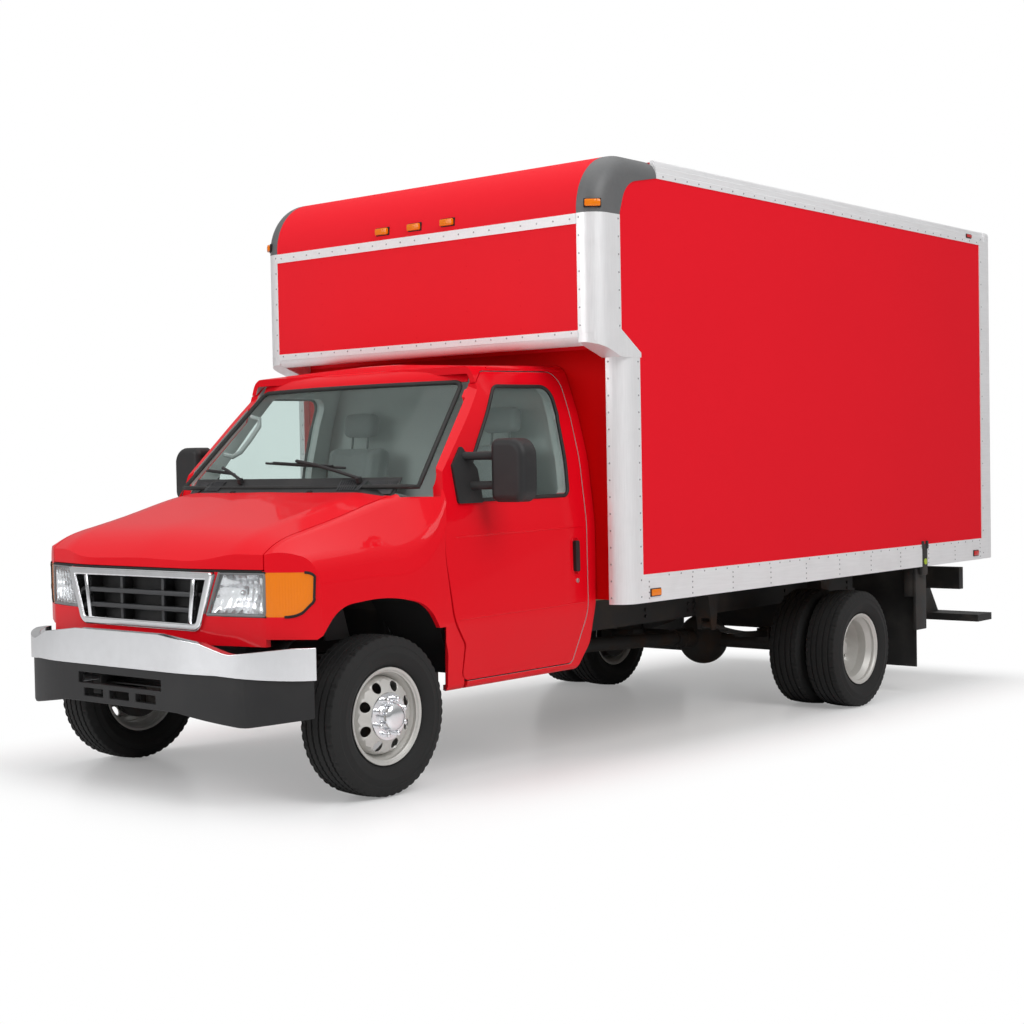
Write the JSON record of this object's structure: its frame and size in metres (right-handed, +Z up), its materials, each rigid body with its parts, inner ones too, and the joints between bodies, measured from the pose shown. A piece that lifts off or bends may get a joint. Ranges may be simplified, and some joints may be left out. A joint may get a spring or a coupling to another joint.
{
  "type": "box truck",
  "caption": "Box truck: cutaway van cab with a closed cargo box over it, steered front wheels, twin rear wheels, hinged doors and bonnet, and a rear step.",
  "frame": {"origin": "on the ground under the middle of the truck's length and width", "axes": "+X forwards, +Y to the driver's left, +Z up"},
  "size_m": [6.8646, 2.535, 3.1456],
  "materials": {
    "cab_paint": "gloss",
    "box_paint": "satin",
    "aluminium": "satin",
    "chrome": "polished",
    "black_plastic": "matte",
    "grey_plastic": "matte",
    "valance_grey": "matte",
    "chassis_black": "satin",
    "axle_iron": "matte",
    "exhaust_steel": "satin",
    "wheel_paint": "satin",
    "tyre": "matte",
    "flap_rubber": "matte",
    "glass": "clear",
    "lamp_clear": "clear",
    "lamp_amber": "gloss",
    "seat_cloth": "woven",
    "cap_grey": "satin",
    "deck_wood": "oiled"
  },
  "bodies": {
    "chassis": {"frame_rails": "chassis_black", "crossmembers": "chassis_black", "front_axle": "axle_iron", "rear_axle": "axle_iron", "driveline": "chassis_black", "powertrain": "axle_iron", "exhaust": "exhaust_steel", "fuel_tank": "chassis_black", "cab_floor": "chassis_black", "cab_shell": "cab_paint", "fenders": "cab_paint", "wheel_houses": "black_plastic", "front_panel": "cab_paint", "cowl": "black_plastic", "windshield": "glass", "grille_surround": "chrome", "grille_insert": "black_plastic", "headlights": "lamp_clear", "turn_lamps": "lamp_amber", "front_bumper": "chrome", "front_valance": "valance_grey", "dashboard": "grey_plastic", "steering_wheel": "grey_plastic", "seats": "seat_cloth", "cargo_floor": "deck_wood", "side_walls": "box_paint", "box_front": "box_paint", "box_roof": "aluminium", "corner_posts": "aluminium", "nose_trim": "aluminium", "bottom_rails": "aluminium", "roof_rails": "aluminium", "corner_caps": "cap_grey", "rear_frame": "aluminium", "rollup_door": "aluminium", "rear_step": "chassis_black", "mud_flaps": "flap_rubber", "marker_lamps": "lamp_amber"},
    "hood": {"hood": "cab_paint"},
    "door_left": {"door_left": "cab_paint", "door_glass_left": "glass", "door_fittings_left": "black_plastic"},
    "door_right": {"door_right": "cab_paint", "door_glass_right": "glass", "door_fittings_right": "black_plastic"},
    "knuckle_left": {"knuckle_left": "axle_iron"},
    "knuckle_right": {"knuckle_right": "axle_iron"},
    "wheel_front_left": {"wheel_front_left": "wheel_paint", "tyre_front_left": "tyre"},
    "wheel_front_right": {"wheel_front_right": "wheel_paint", "tyre_front_right": "tyre"},
    "wheels_rear_left": {"wheels_rear_left": "wheel_paint", "tyres_rear_left": "tyre"},
    "wheels_rear_right": {"wheels_rear_right": "wheel_paint", "tyres_rear_right": "tyre"}
  },
  "joints": [
    {"name": "steer_left", "type": "hinge", "parent": "chassis", "child": "knuckle_left", "pos_m": [2.6815, 0.7, 0.364], "axis": [0.0188, 0, 0.9998], "range_deg": [-32, 32]},
    {"name": "steer_right", "type": "hinge", "parent": "chassis", "child": "knuckle_right", "pos_m": [2.6815, -0.7, 0.364], "axis": [0.0188, 0, 0.9998], "range_deg": [-32, 32]},
    {"name": "roll_front_left", "type": "hinge", "parent": "knuckle_left", "child": "wheel_front_left", "pos_m": [2.6815, 0.881, 0.364], "axis": [0, 1, 0], "continuous": true},
    {"name": "roll_front_right", "type": "hinge", "parent": "knuckle_right", "child": "wheel_front_right", "pos_m": [2.6815, -0.881, 0.364], "axis": [0, 1, 0], "continuous": true},
    {"name": "roll_rear_left", "type": "hinge", "parent": "chassis", "child": "wheels_rear_left", "pos_m": [-1.3315, 0.95, 0.364], "axis": [0, 1, 0], "continuous": true},
    {"name": "roll_rear_right", "type": "hinge", "parent": "chassis", "child": "wheels_rear_right", "pos_m": [-1.3315, -0.95, 0.364], "axis": [0, 1, 0], "continuous": true},
    {"name": "door_left_hinge", "type": "hinge", "parent": "chassis", "child": "door_left", "pos_m": [2.31555, 1.005, 1.00701], "axis": [-0.0188, 0, -0.9998], "range_deg": [0, 65]},
    {"name": "door_right_hinge", "type": "hinge", "parent": "chassis", "child": "door_right", "pos_m": [2.31555, -1.005, 1.00701], "axis": [0.0188, 0, 0.9998], "range_deg": [0, 65]},
    {"name": "hood_hinge", "type": "hinge", "parent": "chassis", "child": "hood", "pos_m": [2.44383, 0, 1.33865], "axis": [0, -1, 0], "range_deg": [0, 50]}
  ],
  "couplings": [
    {"joint": "steer_right", "follows": "steer_left", "ratio": 1}
  ]
}
